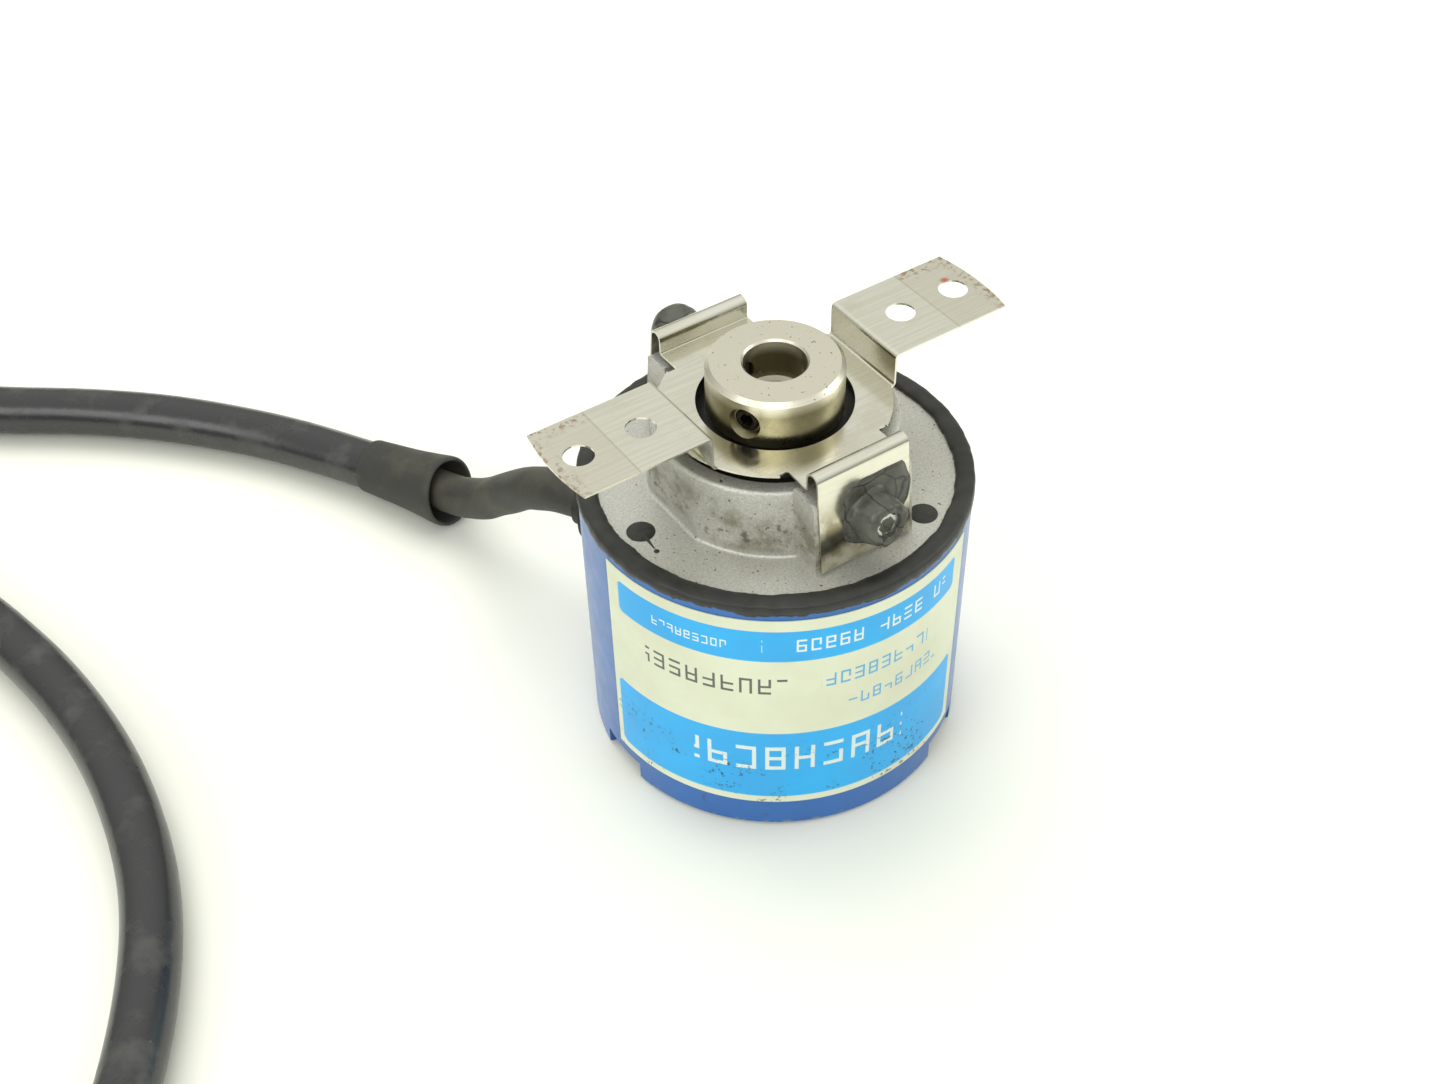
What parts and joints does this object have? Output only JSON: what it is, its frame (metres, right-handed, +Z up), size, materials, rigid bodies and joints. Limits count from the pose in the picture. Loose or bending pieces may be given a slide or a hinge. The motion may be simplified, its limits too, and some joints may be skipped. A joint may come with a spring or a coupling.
{
  "type": "rotary encoder",
  "caption": "Hollow-shaft rotary encoder: round cover, cast housing, clamping collar with a blind bore, leaf-spring mount with raised tabs, and a side lead spliced to a coiled cable.",
  "frame": {"origin": "on the shaft axis, in the plane of the cover's bottom rim, on which the encoder stands", "axes": "+Z up along the shaft axis towards the clamping collar; +X along the two raised mounting tabs; +Y to the side of the lead exit by the right-hand rule"},
  "size_m": [0.2003, 0.2091, 0.0552],
  "materials": {
    "cover_paint": "satin blue baked enamel on aluminium",
    "grey_sealant": "matt dark grey elastic sealant",
    "label_film": "printed polyester label film",
    "insulator": "amber insulating film",
    "cast_alloy": "die-cast, lightly machined",
    "black_rubber": "matt nitrile rubber",
    "bearing_steel": "ground and polished",
    "cage_brass": "pressed brass",
    "spring_steel": "bright stainless spring steel",
    "shaft_steel": "turned stainless steel",
    "black_steel": "black oxide screws",
    "plated_steel": "bright zinc-plated screws",
    "disc_glass": "clear glass with a chrome pattern",
    "magnet": "nickel-plated magnet",
    "black_sealant": "glossy black sealant",
    "carrier_plastic": "moulded black plastic",
    "board_green": "solder-masked glass-epoxy board",
    "chip_black": "moulded chip package",
    "clear_plastic": "clear epoxy",
    "wire_plastic": "thin insulated wires",
    "lead_jacket": "matt black shrink tubing",
    "cable_jacket": "black flexible PVC",
    "sleeve_rubber": "matt heat-shrink sleeve",
    "tie_nylon": "black nylon",
    "connector_plastic": "moulded black plastic",
    "connector_metal": "plated steel shroud",
    "insert_plastic": "moulded white insulator",
    "contact_brass": "gold-flashed contacts"
  },
  "bodies": {
    "frame": {"bearing_clip": "spring_steel", "board_carrier": "carrier_plastic", "board_screws": "black_steel", "board_socket": "carrier_plastic", "board_spacers": "cage_brass", "cable_coil": "cable_jacket", "cable_grommet": "black_rubber", "cable_tie": "tie_nylon", "connector_boot": "black_rubber", "connector_contacts": "contact_brass", "connector_insert": "insert_plastic", "connector_shell": "connector_plastic", "connector_shroud": "connector_metal", "cover": "cover_paint", "dust_seal": "black_rubber", "encoder_lead": "lead_jacket", "flexure_plate": "spring_steel", "flexure_screws": "plated_steel", "flexure_sealant": "black_sealant", "hall_sensor": "chip_black", "housing": "cast_alloy", "housing_oring": "black_rubber", "housing_screws": "black_steel", "insulating_sheet": "insulator", "lead_wires": "wire_plastic", "led": "clear_plastic", "led_holder": "carrier_plastic", "lower_bearing_outer_ring": "bearing_steel", "main_board": "board_green", "main_cable_run": "cable_jacket", "main_cable_tail": "cable_jacket", "main_capacitors": "cast_alloy", "main_chips": "chip_black", "nameplate": "label_film", "outer_spacer": "cast_alloy", "preload_spring": "spring_steel", "screw_sealant": "grey_sealant", "sealant_bead": "grey_sealant", "sensor_board": "board_green", "sensor_chip": "chip_black", "slit_mask": "disc_glass", "splice_sleeve": "sleeve_rubber", "upper_bearing_outer_ring": "bearing_steel"},
    "rotor": {"hollow_shaft": "shaft_steel", "upper_bearing_inner_ring": "bearing_steel", "lower_bearing_inner_ring": "bearing_steel", "inner_spacer": "bearing_steel", "shaft_clip": "spring_steel", "disc_hub": "cast_alloy", "code_disc": "disc_glass", "disc_clamp": "cast_alloy", "multiturn_magnet": "magnet"},
    "upper_ball_set": {"upper_bearing_balls": "bearing_steel", "upper_bearing_cage": "cage_brass"},
    "lower_ball_set": {"lower_bearing_balls": "bearing_steel", "lower_bearing_cage": "cage_brass"},
    "front_set_screw": {"set_screw_front": "black_steel"},
    "back_set_screw": {"set_screw_back": "black_steel"}
  },
  "joints": [
    {"name": "shaft_spin", "type": "hinge", "parent": "frame", "child": "rotor", "pos_m": [0, 0, 0.0431], "axis": [0, 0, 1], "continuous": true},
    {"name": "upper_ball_orbit", "type": "hinge", "parent": "frame", "child": "upper_ball_set", "pos_m": [0, 0, 0.0431], "axis": [0, 0, 1], "continuous": true},
    {"name": "lower_ball_orbit", "type": "hinge", "parent": "frame", "child": "lower_ball_set", "pos_m": [0, 0, 0.0346], "axis": [0, 0, 1], "continuous": true},
    {"name": "front_set_screw_travel", "type": "slide", "parent": "rotor", "child": "front_set_screw", "axis": [-0.8746, -0.4848, 0], "range_m": [0, 0.003]},
    {"name": "back_set_screw_travel", "type": "slide", "parent": "rotor", "child": "back_set_screw", "axis": [-0.4848, 0.8746, 0], "range_m": [0, 0.003]}
  ],
  "couplings": [
    {"joint": "upper_ball_orbit", "follows": "shaft_spin", "ratio": 0.446},
    {"joint": "lower_ball_orbit", "follows": "shaft_spin", "ratio": 0.446}
  ]
}
